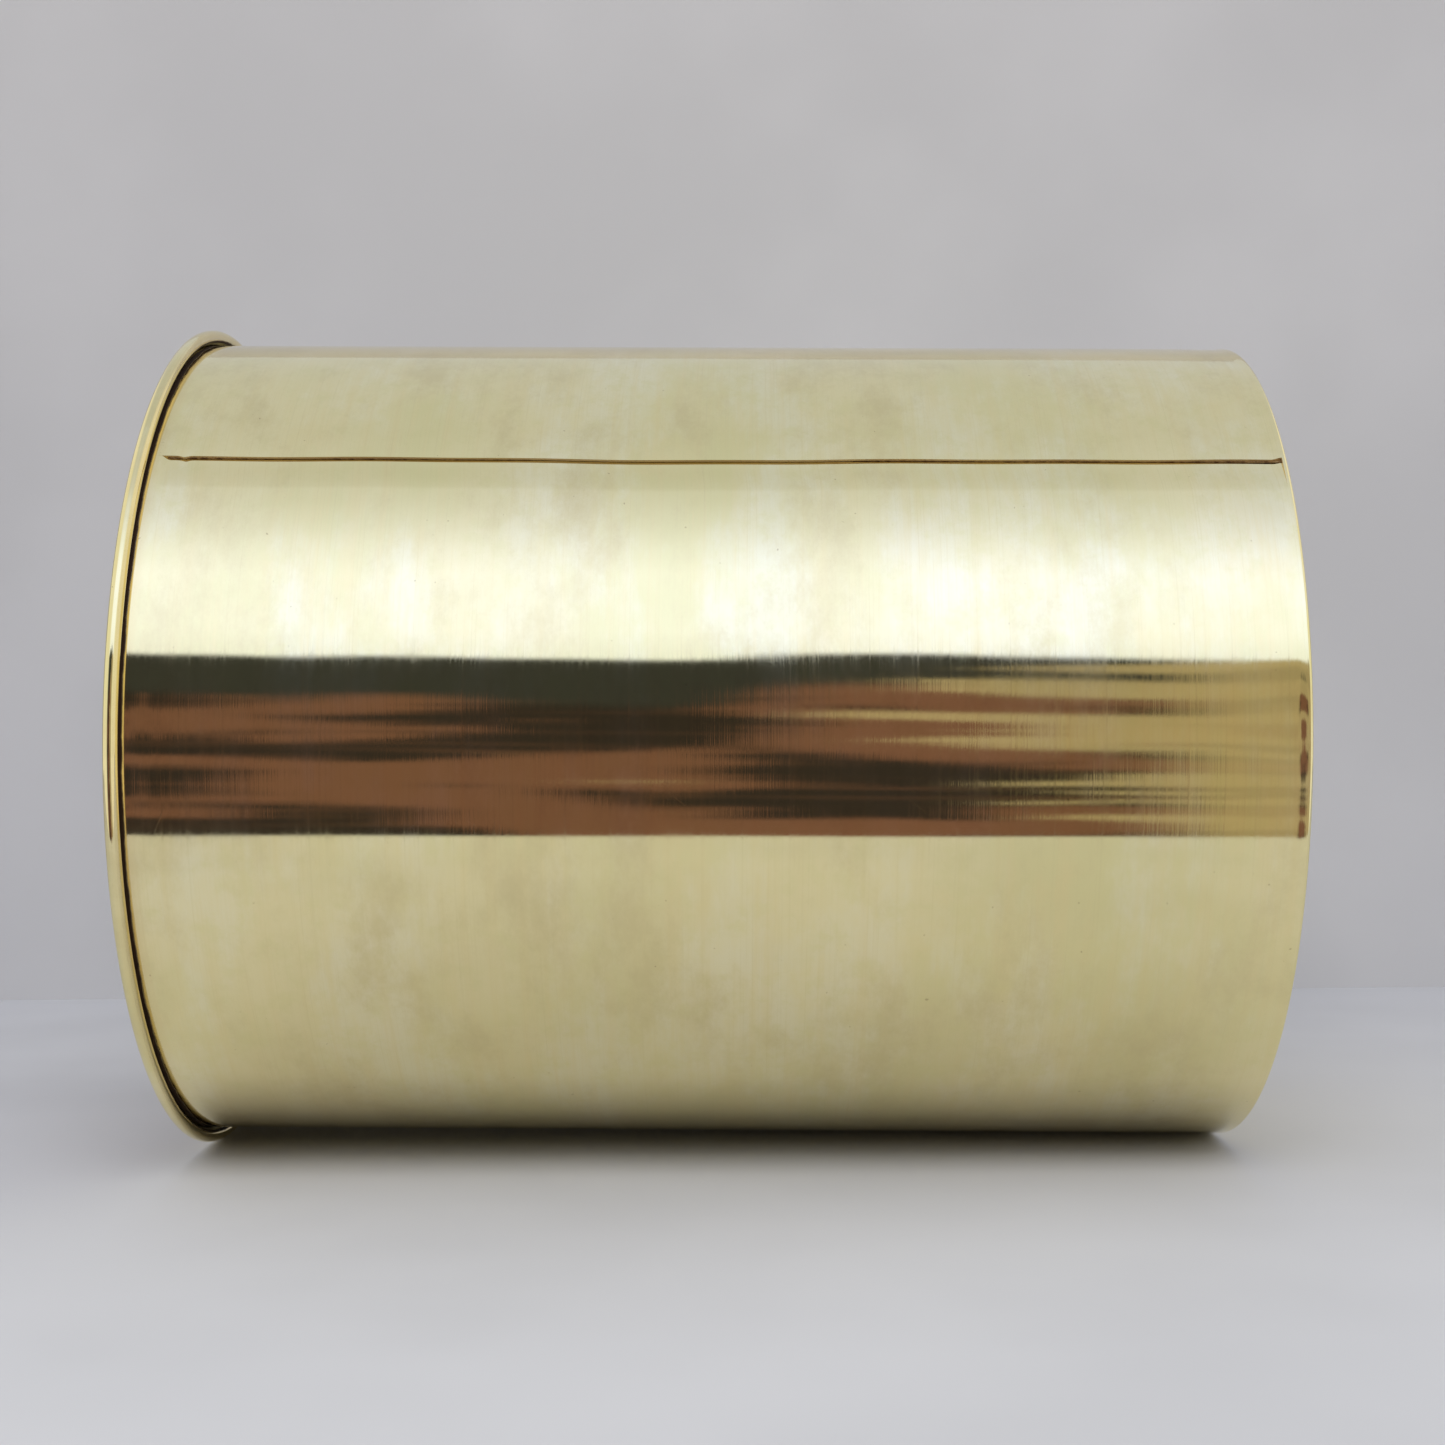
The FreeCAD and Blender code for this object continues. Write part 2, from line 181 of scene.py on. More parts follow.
def hand_made(angle, z):
    """How far the wall stands off a true cylinder: soft waves, and a dressed, rippled strip by the base."""
    twisted = THREE_LOBES._replace(phase=z / HEIGHT * THREE_LOBE_TWIST)
    short = SHORT_WAVE._replace(phase=z * SHORT_TWIST)
    waves = wave_sum([TWO_LOBES, twisted], angle)
    waves += wave_sum([short], angle) * math.sin(z * SHORT_RISE + SHORT_START)
    ripple = BASE_RIPPLE * (wave_sum(RIPPLES, angle) - RIPPLE_INWARD) * swell(z - WALL_FOOT, BASE_STRIP)
    ends = smooth(0, FLUSH_AT_FOOT, z - WALL_FOOT) * smooth(0, FLUSH_AT_RIM, HEIGHT - FLUSH_AT_RIM - z)
    return (waves * MM + ripple) * ends


def leaf_drop(turn, z):
    """How far the sheet has dipped inward, at a turn from its start, to run on under the outer leaf."""
    below_rim = 1 - smooth(SEAM_STOP - SEAM_FADE, SEAM_STOP, z)
    return LEAF_DROP * below_rim * (1 - smooth(0, DIP_ARC, WHOLE_TURN - turn))


def wall_rows():
    """Heights of the wall's rows of points."""
    low, high = WALL_FOOT + FINE_FOOT, WALL_TOP - FINE_TOP
    rows = even_steps(WALL_FOOT, low, FINE_ROW) + even_steps(low, high, WIDE_ROW)
    return sorted(set(rows + even_steps(high, WALL_TOP, FINE_ROW)))


def wall_turns():
    """Turns of the wall's columns from the raw edge, once round and on under the lap."""
    lap = [LAP_ARC * i / LAP_COLUMNS for i in range(LAP_COLUMNS)]
    round_wall = even_steps(LAP_ARC, WHOLE_TURN - DIP_ARC, WALL_STEP)
    dip = [WHOLE_TURN - DIP_ARC * (1 - i / DIP_COLUMNS) for i in range(1, DIP_COLUMNS + 1)]
    under = [WHOLE_TURN + LAP_ARC * i / UNDER_COLUMNS for i in range(1, UNDER_COLUMNS + 1)]
    return lap + round_wall + dip + under


def rolled_wall():
    """The wall from base to bead.  The sheet starts at the raw edge, goes all the way round, dips and runs on
    under its own start, so the lap is a real step with an open edge."""
    rows, turns = wall_rows(), wall_turns()
    points, faces = [], []
    for z in rows:
        edge = seam_angle(z)
        for turn in turns:
            angle = edge + turn
            r = WALL_OUT + hand_made(angle, z) - leaf_drop(turn, z)
            points.append((r * math.cos(angle), r * math.sin(angle), z))
    wide = len(turns)
    for row in range(len(rows) - 1):
        for column in range(wide - 1):
            corner = row * wide + column
            faces.append((corner, corner + 1, corner + 1 + wide, corner + wide))
    wall = make_piece("rolled_wall", points, faces)
    thickness = wall.modifiers.new("sheet", "SOLIDIFY")
    thickness.thickness = SHEET
    thickness.offset = -1
    thickness.use_even_offset = True
    apply_modifiers(wall)
    return wall


def lip_profile():
    """Section of the rim as (radius, height), from the wall's outside, under the bead and back inside."""
    bend = Vector((BEND_R, CURL_Z))
    curl = Vector((CURL_R, CURL_Z))
    lip = -math.pi / 2 - CURL_PAST

    def sweep(centre, radius, start, end, count):
        angles = [start + (end - start) * i / count for i in range(count + 1)]
        return [centre + radius * Vector((math.cos(a), math.sin(a))) for a in angles]

    profile = [Vector((WALL_OUT, z)) for z in even_steps(WALL_TOP, CURL_Z - BELOW_BEND, FINE_ROW)]
    profile += sweep(bend, CURL_IN, math.pi, math.pi / 2, BEND_STEPS_IN)
    profile += sweep(curl, CURL_IN, math.pi / 2, lip, CURL_STEPS_IN)
    lip_middle = curl + (CURL_IN + SHEET / 2) * Vector((math.cos(lip), math.sin(lip)))
    along = Vector((math.sin(lip), -math.cos(lip)))
    profile.append(lip_middle + along * SHEET * LIP_ROUND)
    profile += sweep(curl, CURL_OUT, lip, math.pi / 2, CURL_STEPS_OUT)
    profile += sweep(bend, CURL_OUT, math.pi / 2, math.pi, BEND_STEPS_OUT)
    profile += [Vector((WALL_OUT - SHEET, z)) for z in even_steps(CURL_Z - BELOW_BEND, WALL_TOP, FINE_ROW)]
    return profile


def nick(angle):
    """How much the lip is lifted: a small burr where it was dressed, and a wrinkle further round."""
    return sum(bump.size * swell(angle - bump.at, bump.width) for bump in (BURR, WRINKLE))


def rim_bead():
    """The curled rim, swept round with the small unevenness of a hand-closed curl."""
    profile = lip_profile()
    points = []
    for i, spot in enumerate(profile):
        near_lip = swell(i / (len(profile) - 1) - LIP_SHARE, LIP_SPREAD)
        for step in range(RING_STEPS):
            angle = WHOLE_TURN * step / RING_STEPS
            lift = nick(angle) * near_lip
            uneven = wave_sum(CURL_WAVES, angle) * near_lip
            r = spot.x + (uneven + lift * LIP_PUSH) * MM * (spot.y < HEIGHT - TOP_IS_EVEN)
            z = spot.y - lift * MM
            points.append((r * math.cos(angle), r * math.sin(angle), z))
    return make_piece("rim_bead", points, ring_faces(len(profile), RING_STEPS))


# --------------------------------------------------------------------------------------------- the base disc
def disc_underside(r):
    """Height of the disc's underside: flat where it stands, raised in the middle, with faint spun rings."""
    raised = 1 - smooth(KICK_CROWN, KICK_FOOT, r)
    return raised * (DISC_HIGH.z - WALL_FOOT + SPUN_RIPPLE * math.sin(WHOLE_TURN * r / SPUN_PITCH))


def base_plate():
    """The disc that the wall stands on, its lower edge rounded and its middle raised."""
    radii = even_steps(2 * SPUN_STEP, KICK_CROWN, SPUN_STEP)
    radii += even_steps(KICK_CROWN, KICK_FOOT, SLOPE_STEP)[1:]
    under = [Vector((r, disc_underside(r))) for r in radii]
    over = [spot + Vector((0, WALL_FOOT)) for spot in reversed(under)]
    turns = [math.pi / 2 * i / ROUND_STEPS for i in range(ROUND_STEPS + 1)]
    flat = WALL_OUT - DISC_ROUND
    edge = [Vector((flat + DISC_ROUND * math.sin(a), DISC_ROUND * (1 - math.cos(a)))) for a in turns]
    profile = under + edge + [Vector((WALL_OUT, WALL_FOOT))] + over
    points = []
    for spot in profile:
        for step in range(DISC_STEPS):
            angle = WHOLE_TURN * step / DISC_STEPS
            points.append((spot.x * math.cos(angle), spot.x * math.sin(angle), spot.y))
    faces = ring_faces(len(profile), DISC_STEPS)
    first, last = len(points), (len(profile) - 1) * DISC_STEPS
    points += [(0, 0, disc_underside(0)), (0, 0, disc_underside(0) + WALL_FOOT)]
    for step in range(DISC_STEPS):
        after = (step + 1) % DISC_STEPS
        faces += [(first, after, step), (first + 1, last + step, last + after)]
    plate = make_piece("base_plate", points, faces)
    plate.data.set_sharp_from_angle(angle=SHARP_CORNER)
    return plate


# -------------------------------------------------------------------------------------------- shader helpers
class Nodes:
    """A short way to build the node tree of a new material, or of a world."""

    def __init__(self, name, owner=None):
        self.owner = owner or bpy.data.materials.new(name)
        self.owner.use_nodes = True
        self.tree = self.owner.node_tree
        self.tree.nodes.clear()

    def add(self, kind, inputs=None, **settings):
        node = self.tree.nodes.new(kind)
        for key, value in settings.items():
            setattr(node, key, value)
        for key, value in (inputs or {}).items():
            if isinstance(value, bpy.types.NodeSocket):
                self.tree.links.new(value, node.inputs[key])
            else:
                node.inputs[key].default_value = value
        return node

    def math(self, operation, *values):
        return self.add("ShaderNodeMath", dict(enumerate(values)), operation=operation).outputs[0]

    def times(self, first, second):
        return self.math("MULTIPLY", first, second)

    def split(self, vector):
        return self.add("ShaderNodeSeparateXYZ", {0: vector}).outputs

    def combine(self, *values):
        return self.add("ShaderNodeCombineXYZ", dict(enumerate(values))).outputs[0]

    def noise(self, vector, scale, detail=3.0, roughness=0.5):
        settings = {"Vector": vector, "Scale": scale, "Detail": detail, "Roughness": roughness}
        return self.add("ShaderNodeTexNoise", settings).outputs["Fac"]

    def remap(self, value, low, high, to_low=0.0, to_high=1.0):
        values = {"Value": value, "From Min": low, "From Max": high, "To Min": to_low, "To Max": to_high}
        return self.add("ShaderNodeMapRange", values, interpolation_type="SMOOTHSTEP").outputs["Result"]

    def ramp(self, value, low, high, stops):
        """Colours along a value: stops are (value, colour) in order."""
        spread = self.add("ShaderNodeMapRange", {"Value": value, "From Min": low, "From Max": high})
        node = self.add("ShaderNodeValToRGB", {0: spread.outputs["Result"]})
        elements = node.color_ramp.elements
        while len(elements) < len(stops):
            elements.new(1.0)
        for element, (place, colour) in zip(elements, stops):
            element.position = (place - low) / (high - low)
            element.color = (*colour, 1)
        return node.outputs["Color"]

    def mix(self, factor, first, second):
        node = self.add("ShaderNodeMix", data_type="RGBA")
        for socket, value in ((0, factor), (6, first), (7, second)):
            if isinstance(value, bpy.types.NodeSocket):
                self.tree.links.new(value, node.inputs[socket])
            else:
                node.inputs[socket].default_value = value
        return node.outputs[2]

    def bump(self, height, strength, distance, below=None, **settings):
        values = {"Height": height, "Strength": strength, "Distance": distance}
        if below:
            values["Normal"] = below
        return self.add("ShaderNodeBump", values, **settings).outputs[0]

    def finish(self, shader):
        is_world = isinstance(self.owner, bpy.types.World)
        output = self.add("ShaderNodeOutputWorld" if is_world else "ShaderNodeOutputMaterial")
        self.tree.links.new(shader, output.inputs["Surface"])
        return self.owner


def cylinder_coordinates(nodes):
    """Coordinates that follow the pot's skin: (place, angle in radians, height, radius)."""
    place = nodes.add("ShaderNodeTexCoord").outputs["Object"]
    split = nodes.split(place)
    angle = nodes.math("ARCTAN2", split["Y"], split["X"])
    squares = nodes.math("ADD", nodes.math("POWER", split["X"], 2.0), nodes.math("POWER", split["Y"], 2.0))
    return place, angle, split["Z"], nodes.math("SQRT", squares)


def dot_product(nodes, first, second):
    return nodes.add("ShaderNodeVectorMath", {0: first, 1: second}, operation="DOT_PRODUCT").outputs["Value"]


# ------------------------------------------------------------------------------------------------- the brass
BRASS = (0.93, 0.825, 0.46, 1)
BRASS_WARM = (0.91, 0.765, 0.39, 1)
BRASS_GREEN = (0.85, 0.775, 0.39, 1)
BRASS_MILKY = (0.96, 0.90, 0.62, 1)
BRASS_DULL = (0.79, 0.68, 0.36, 1)
BRASS_RAW = (0.80, 0.62, 0.31, 1)
TARNISH = (0.20, 0.105, 0.045, 1)
# Near black: painted shade in the groove between the bead and the wall, with its tarnish and polish residue.
GROOVE_DIRT_AND_SHADE = (0.085, 0.050, 0.030, 1)
EDGE_BROWN = (0.66, 0.49, 0.23, 1)

# Noises on the skin.  Those with lines are drawn out round the pot, lines times scale to the metre.
Pattern = namedtuple("Pattern", "lines scale detail roughness")
HAIRLINES = Pattern(1900.0, 1.7, 3.0, 0.7)
BRUSH_MARKS = Pattern(230.0, 1.4, 3.0, 0.6)
CLOUDS = Pattern(11.0, 1.3, 4.0, 0.6)
HAZE = Pattern(24.0, 1.9, 5.0, 0.66)
DULL_FILM = Pattern(17.0, 2.6, 7.0, 0.72)
SMUDGES = Pattern(None, 30.0, 6.0, 0.68)
MOTTLE = Pattern(None, 130.0, 5.0, 0.7)
SPECKS = Pattern(None, 720.0, 1.0, 0.5)

# What lies on the outside, from the bottom up: each shows where its noise rises from one value to another.
Layer = namedtuple("Layer", "pattern low high strength tint")
COLOUR_LAYERS = [
    Layer(CLOUDS, 0.40, 0.64, 0.90, BRASS_GREEN),
    Layer(SMUDGES, 0.50, 0.70, 0.42, BRASS_WARM),
    Layer(HAZE, 0.44, 0.68, 0.60, BRASS_MILKY),
    Layer(BRUSH_MARKS, 0.42, 0.72, 0.45, BRASS_WARM),
    Layer(MOTTLE, 0.45, 0.70, 0.50, BRASS_GREEN),
    Layer(DULL_FILM, 0.46, 0.72, 0.85, BRASS_DULL),
    Layer(HAIRLINES, 0.50, 0.80, 0.35, BRASS_DULL),
    Layer(SPECKS, 0.79, 0.83, 0.35, TARNISH),
]
HAZE_ROUGHNESS = Layer(HAZE, 0.44, 0.68, 0.035, None)
SMUDGE_ROUGHNESS = Layer(SMUDGES, 0.50, 0.70, 0.035, None)
HAIRLINE_ROUGHNESS = Layer(HAIRLINES, 0.45, 0.80, 0.06, None)
RAW_TARNISH = Layer(MOTTLE, 0.35, 0.70, 0.38, TARNISH)
STAIN_STRENGTH = 0.40
SCUFF_ROUGHNESS, INSIDE_ROUGHNESS, GROOVE_ROUGHNESS, EDGE_ROUGHNESS = 0.05, 0.40, 0.6, 0.5
DULL_LOSS = 0.45  # how much less metallic the inside and the cut edge are
ANISOTROPY, QUARTER_TURN = 0.5, 0.25

# Strength and depth, in metres, of the marks that the light shows.
HAIRLINE_BUMP, HAIRLINE_DEPTH = 0.10, 0.04 * MM
BRUSH_BUMP, BRUSH_DEPTH = 0.08, 0.12 * MM
SCUFF_BUMP, SCUFF_DEPTH = 0.12, 0.01 * MM

# Scratches: across and along them, per metre, and how each set leans.
SCRATCH_ACROSS, SCRATCH_ALONG = 1500.0, 45.0
SCRATCH_LOW, SCRATCH_HIGH = 0.77, 0.83
SCRATCH_SETS = [(0.35, 2.0), (-0.9, 7.0)]

# The groove between the bead and the wall: its middle, and how far the dirt with its painted shade, and the
# stain, reach from it.
GROOVE_R = WALL_OUT + 0.5 * MM
GROOVE_Z = CURL_Z - 1.1 * MM
GROOVE_UNEVEN, GROOVE_GRAIN = 0.7 * MM, 190.0
DIRT_AND_SHADE_FULL, DIRT_AND_SHADE_END = 0.7 * MM, 1.1 * MM
STAIN_FULL, STAIN_END = 1.0 * MM, 4.0 * MM

# The inside is duller from the buffed lip down.
BUFFED_TOP, BUFFED_LIP, BUFFED_SHARE = 1.5 * MM, 14 * MM, 0.15
LINING_STARTS, LINING_FULL = -0.3, -0.6
EDGE_STARTS, EDGE_FULL = 0.4, 0.7
BASE_FACE_STARTS, BASE_FACE_FULL = 0.3, 0.6
BASE_FACE_HIGH, BASE_FACE_LOW = 20 * MM, 10 * MM


def facing(nodes, place, z):
    """Which way a face looks: (1 where it faces the pot's inside, 1 where it is the seam's cut edge)."""
    normal = nodes.add("ShaderNodeNewGeometry").outputs["Normal"]
    outward = dot_product(nodes, normal, place)
    split = nodes.split(place)
    turned = nodes.combine(nodes.times(split["Y"], -1.0), split["X"])
    sideways = nodes.math("ABSOLUTE", dot_product(nodes, normal, turned))
    lining = nodes.remap(outward, LINING_STARTS * WALL_OUT, LINING_FULL * WALL_OUT)
    looks_up = nodes.remap(nodes.split(normal)["Z"], BASE_FACE_STARTS, BASE_FACE_FULL)
    base_face = nodes.times(looks_up, nodes.remap(z, BASE_FACE_HIGH, BASE_FACE_LOW))
    unbuffed = nodes.remap(z, HEIGHT - BUFFED_TOP, HEIGHT - BUFFED_LIP, BUFFED_SHARE, 1.0)
    inside = nodes.times(nodes.math("MAXIMUM", lining, base_face), unbuffed)
    return inside, nodes.remap(sideways, EDGE_STARTS * WALL_OUT, EDGE_FULL * WALL_OUT)


def groove_dirt_and_shade(nodes, place, z, radius):
    """Polish residue and tarnish in the groove between the bead and the wall, with painted shade in the
    groove's depth, and an uneven edge.
    """
    across = nodes.math("POWER", nodes.math("SUBTRACT", radius, GROOVE_R), 2.0)
    along = nodes.math("POWER", nodes.math("SUBTRACT", z, GROOVE_Z), 2.0)
    gap = nodes.math("SQRT", nodes.math("ADD", across, along))
    uneven = nodes.times(nodes.math("SUBTRACT", nodes.noise(place, GROOVE_GRAIN), 0.5), GROOVE_UNEVEN)
    gap = nodes.math("ADD", gap, uneven)
    return nodes.remap(gap, DIRT_AND_SHADE_FULL, DIRT_AND_SHADE_END, 1.0, 0.0), nodes.remap(gap, STAIN_FULL, STAIN_END, 1.0, 0.0)


def scratches(nodes, angle, run, lean, seed):
    """Fine short scratches on the skin, leaning one way."""
    arc = nodes.times(angle, WALL_OUT)
    across = nodes.math("ADD", nodes.times(arc, math.sin(lean)), nodes.times(run, math.cos(lean)))
    along = nodes.math("SUBTRACT", nodes.times(arc, math.cos(lean)), nodes.times(run, math.sin(lean)))
    skin = nodes.combine(nodes.times(across, SCRATCH_ACROSS), nodes.times(along, SCRATCH_ALONG), seed)
    return nodes.remap(nodes.noise(skin, 1.0, 1.0), SCRATCH_LOW, SCRATCH_HIGH)


def skin_noise(nodes, place, angle, run, pattern):
    """A pattern's noise, drawn out round the pot if the pattern has lines."""
    if pattern.lines:
        cosine, sine = nodes.math("COSINE", angle), nodes.math("SINE", angle)
        place = nodes.combine(cosine, sine, nodes.times(run, pattern.lines))
    return nodes.noise(place, pattern.scale, pattern.detail, pattern.roughness)


def brass(name, roughness=0.045, brushed=1.0):
    """Hand-polished brass, brushed round the pot.  Milky haze, smudges, scratches and specks lie on the
    outside, tarnish and painted shade in the groove, brown on the seam's cut edge, and the inside is dull."""
    nodes = Nodes(name)
    place, angle, z, radius = cylinder_coordinates(nodes)
    run = nodes.math("ADD", z, radius)
    inside, cut_edge = facing(nodes, place, z)
    groove, stain = groove_dirt_and_shade(nodes, place, z, radius)
    patterns = [layer.pattern for layer in COLOUR_LAYERS]
    noises = {pattern: skin_noise(nodes, place, angle, run, pattern) for pattern in patterns}
    scuffs = nodes.math("MAXIMUM", *(scratches(nodes, angle, run, *settings) for settings in SCRATCH_SETS))

    def shown(layer, strength=1.0):
        return nodes.remap(noises[layer.pattern], layer.low, layer.high, 0.0, layer.strength * strength)

    colour = BRASS
    for layer in COLOUR_LAYERS:
        colour = nodes.mix(shown(layer), colour, layer.tint)
    colour = nodes.mix(nodes.times(stain, STAIN_STRENGTH), colour, BRASS_RAW)
    colour = nodes.mix(inside, colour, nodes.mix(shown(RAW_TARNISH), BRASS_RAW, RAW_TARNISH.tint))
    colour = nodes.mix(cut_edge, colour, EDGE_BROWN)
    # Painted shade, with tarnish and polish residue, darkens the groove between the bead and the wall to near
    # black.
    colour = nodes.mix(groove, colour, GROOVE_DIRT_AND_SHADE)

    rough = roughness
    for part in (shown(HAZE_ROUGHNESS), shown(SMUDGE_ROUGHNESS), shown(HAIRLINE_ROUGHNESS, brushed),
                 nodes.times(scuffs, SCUFF_ROUGHNESS)):
        rough = nodes.math("ADD", part, rough)
    for mask, least in ((inside, INSIDE_ROUGHNESS), (groove, GROOVE_ROUGHNESS), (cut_edge, EDGE_ROUGHNESS)):
        rough = nodes.math("MAXIMUM", rough, nodes.times(mask, least))
    dull = nodes.times(nodes.math("MAXIMUM", inside, cut_edge), DULL_LOSS)
    metallic = nodes.math("SUBTRACT", 1.0, dull)

    bump = nodes.bump(noises[HAIRLINES], HAIRLINE_BUMP * brushed, HAIRLINE_DEPTH)
    bump = nodes.bump(noises[BRUSH_MARKS], BRUSH_BUMP * brushed, BRUSH_DEPTH, bump)
    bump = nodes.bump(scuffs, SCUFF_BUMP, SCUFF_DEPTH, bump, invert=True)
    round_pot = nodes.add("ShaderNodeTangent", direction_type="RADIAL", axis="Z").outputs[0]
    shader = nodes.add("ShaderNodeBsdfPrincipled", {
        "Base Color": colour, "Roughness": rough, "Metallic": metallic, "Normal": bump,
        "Anisotropic": ANISOTROPY, "Anisotropic Rotation": QUARTER_TURN, "Tangent": round_pot})
    return nodes.finish(shader.outputs[0])


# -------------------------------------------------------------------------------------------- braze and wire
BRAZE_GRAIN, BRAZE_DETAIL = 900.0, 4.0
BRAZE_LOW, BRAZE_HIGH = 0.35, 0.7
BRAZE_BUMP, BRAZE_DEPTH = 0.5, 0.08 * MM
SEAM_BROWN, SEAM_ROUGHNESS = (0.48, 0.33, 0.15, 1), 0.45
FILLET_BROWN, FILLET_ROUGHNESS = (0.52, 0.38, 0.19, 1), 0.38
STEEL_DARK, STEEL_PALE = (0.50, 0.51, 0.53, 1), (0.68, 0.69, 0.70, 1)
STEEL_LINES, STEEL_SPANGLE, STEEL_DETAIL = 4000.0, 700.0, 2.0
STEEL_LOW, STEEL_HIGH, STEEL_SMOOTH, STEEL_ROUGH = 0.3, 0.7, 0.28, 0.45
STEEL_BUMP, STEEL_DEPTH = 0.2, 0.02 * MM


def tarnished(name, base, roughness):
    """Dull brown braze with a grainy surface."""
    nodes = Nodes(name)
    place = nodes.add("ShaderNodeTexCoord").outputs["Object"]
    grain = nodes.noise(place, BRAZE_GRAIN, BRAZE_DETAIL)
    colour = nodes.mix(nodes.remap(grain, BRAZE_LOW, BRAZE_HIGH), base, TARNISH)
    shader = nodes.add("ShaderNodeBsdfPrincipled", {
        "Base Color": colour, "Roughness": roughness, "Metallic": 1.0,
        "Normal": nodes.bump(grain, BRAZE_BUMP, BRAZE_DEPTH)})
    return nodes.finish(shader.outputs[0])


def drawn_steel(name):
    """Galvanised wire, with the fine lines that drawing leaves."""
    nodes = Nodes(name)
    place, angle, z, radius = cylinder_coordinates(nodes)
    stretched = nodes.combine(nodes.times(radius, STEEL_LINES), angle, nodes.times(z, STEEL_LINES))
    lines = nodes.noise(stretched, 1.0, STEEL_DETAIL)
    spangle = nodes.noise(place, STEEL_SPANGLE, STEEL_DETAIL)
    shader = nodes.add("ShaderNodeBsdfPrincipled", {
        "Base Color": nodes.mix(spangle, STEEL_DARK, STEEL_PALE), "Metallic": 1.0,
        "Roughness": nodes.remap(lines, STEEL_LOW, STEEL_HIGH, STEEL_SMOOTH, STEEL_ROUGH),
        "Normal": nodes.bump(lines, STEEL_BUMP, STEEL_DEPTH)})
    return nodes.finish(shader.outputs[0])


# ------------------------------------------------------------------------------------------- put it together
def build_pot():
    sheet_brass = brass("sheet_brass")
    disc_brass = brass("disc_brass", roughness=0.08, brushed=0.6)
    for piece, node, material, slot in (
            (rolled_wall(), "body_shell", sheet_brass, "brass_sheet"),
            (rim_bead(), "body_shell", sheet_brass, "brass_sheet"),
            (base_plate(), "base_disc", disc_brass, "brass_base")):
        piece.data.materials.append(material)
        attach(piece, "root")
        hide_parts(node)
    finishes = {
        "rim_wire": drawn_steel("drawn_steel"),
        "seam_braze": tarnished("seam_braze_metal", SEAM_BROWN, SEAM_ROUGHNESS),
        "base_braze": tarnished("base_braze_metal", FILLET_BROWN, FILLET_ROUGHNESS),
    }
    for node, material in finishes.items():
        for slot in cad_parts[node].material_slots:
            slot.material = material


# ------------------------------------------------------------------------------------------------- the stage
FLOOR_X = -RIM_OUT
FLOOR_TILT = math.atan2(RIM_OUT - WALL_OUT, HEIGHT)
BACK_WALL_Y = 2.65 * WALL_OUT
FLOOR_FRONT = 2.65 * WALL_OUT
BACK_WALL_HEIGHT = 4.3 * WALL_OUT
STAGE_LENGTH = 30 * WALL_OUT
FLOOR_GREY = (0.60, 0.595, 0.585, 1)
WALL_GREY = (0.59, 0.58, 0.56, 1)
MATT_SHADE, MATT_GRAIN, MATT_LOW, MATT_HIGH = 0.93, 7.0, 0.35, 0.65


def matt(name, colour):
    """A plain matt material that can't be seen from behind."""
    nodes = Nodes(name)
    place = nodes.add("ShaderNodeTexCoord").outputs["Object"]
    shaded = tuple(MATT_SHADE * c for c in colour[:3]) + (1,)
    tone = nodes.mix(nodes.remap(nodes.noise(place, MATT_GRAIN), MATT_LOW, MATT_HIGH), shaded, colour)
    shader = nodes.add("ShaderNodeBsdfDiffuse", {"Color": tone}).outputs[0]
    behind = nodes.add("ShaderNodeNewGeometry").outputs["Backfacing"]
    clear = nodes.add("ShaderNodeBsdfTransparent").outputs[0]
    return nodes.finish(nodes.add("ShaderNodeMixShader", {0: behind, 1: shader, 2: clear}).outputs[0])


def stage_panel(name, corners, material):
    """A flat panel, seen from the side on which its corners run counter-clockwise."""
    board = make_piece(name, corners, [(0, 1, 2, 3)], shade_smooth=False)
    board.data.materials.append(material)


def floor_x(z):
    """The floor that the pot lies on, tilted so that both the bead and the base's edge touch it."""
    return FLOOR_X + (HEIGHT - z) * math.tan(FLOOR_TILT)


def build_stage():
    low, high = HEIGHT / 2 - STAGE_LENGTH / 2, HEIGHT / 2 + STAGE_LENGTH / 2
    floor = [(floor_x(z), y, z) for y, z in (
        (-FLOOR_FRONT, low), (BACK_WALL_Y, low), (BACK_WALL_Y, high), (-FLOOR_FRONT, high))]
    top = FLOOR_X + BACK_WALL_HEIGHT
    wall = [(floor_x(low), BACK_WALL_Y, low), (top, BACK_WALL_Y, low),
            (top, BACK_WALL_Y, high), (floor_x(high), BACK_WALL_Y, high)]
    stage_panel("floor", floor, matt("pale_floor", FLOOR_GREY))
    stage_panel("back_wall", wall, matt("pale_wall", WALL_GREY))


# ------------------------------------------------------------------------------------------------- the light
# Soft light, as colours of what surrounds the pot.  The softbox is daylight blue, the card below it is dark.
# Elevations are in degrees above -Y towards +X, and axial is the share of a direction along the pot's axis.
PALE = (0.58, 0.61, 0.68)
SOFTBOX = (1.12, 1.24, 1.75)
LOW_FILL = (0.60, 0.59, 0.56)
OPEN_END = (0.88, 0.86, 0.82, 1)
PALE_BACKDROP = (0.50, 0.50, 0.51, 1)
BRIGHTEST = 2.0  # colours are divided by this before their ramp and scaled back after it
FILL_TOP, FILL_FOOT = -40, -150
OPEN_ENDS = (0.36, 0.62)

# How much of the softbox shows at an elevation.
SOFTBOX_LEVELS = [(20, 0.75), (30, 1.0), (46, 1.0), (53, 0.8), (61, 0.5), (69, 0.27), (79, 0.1), (95, 0.0)]

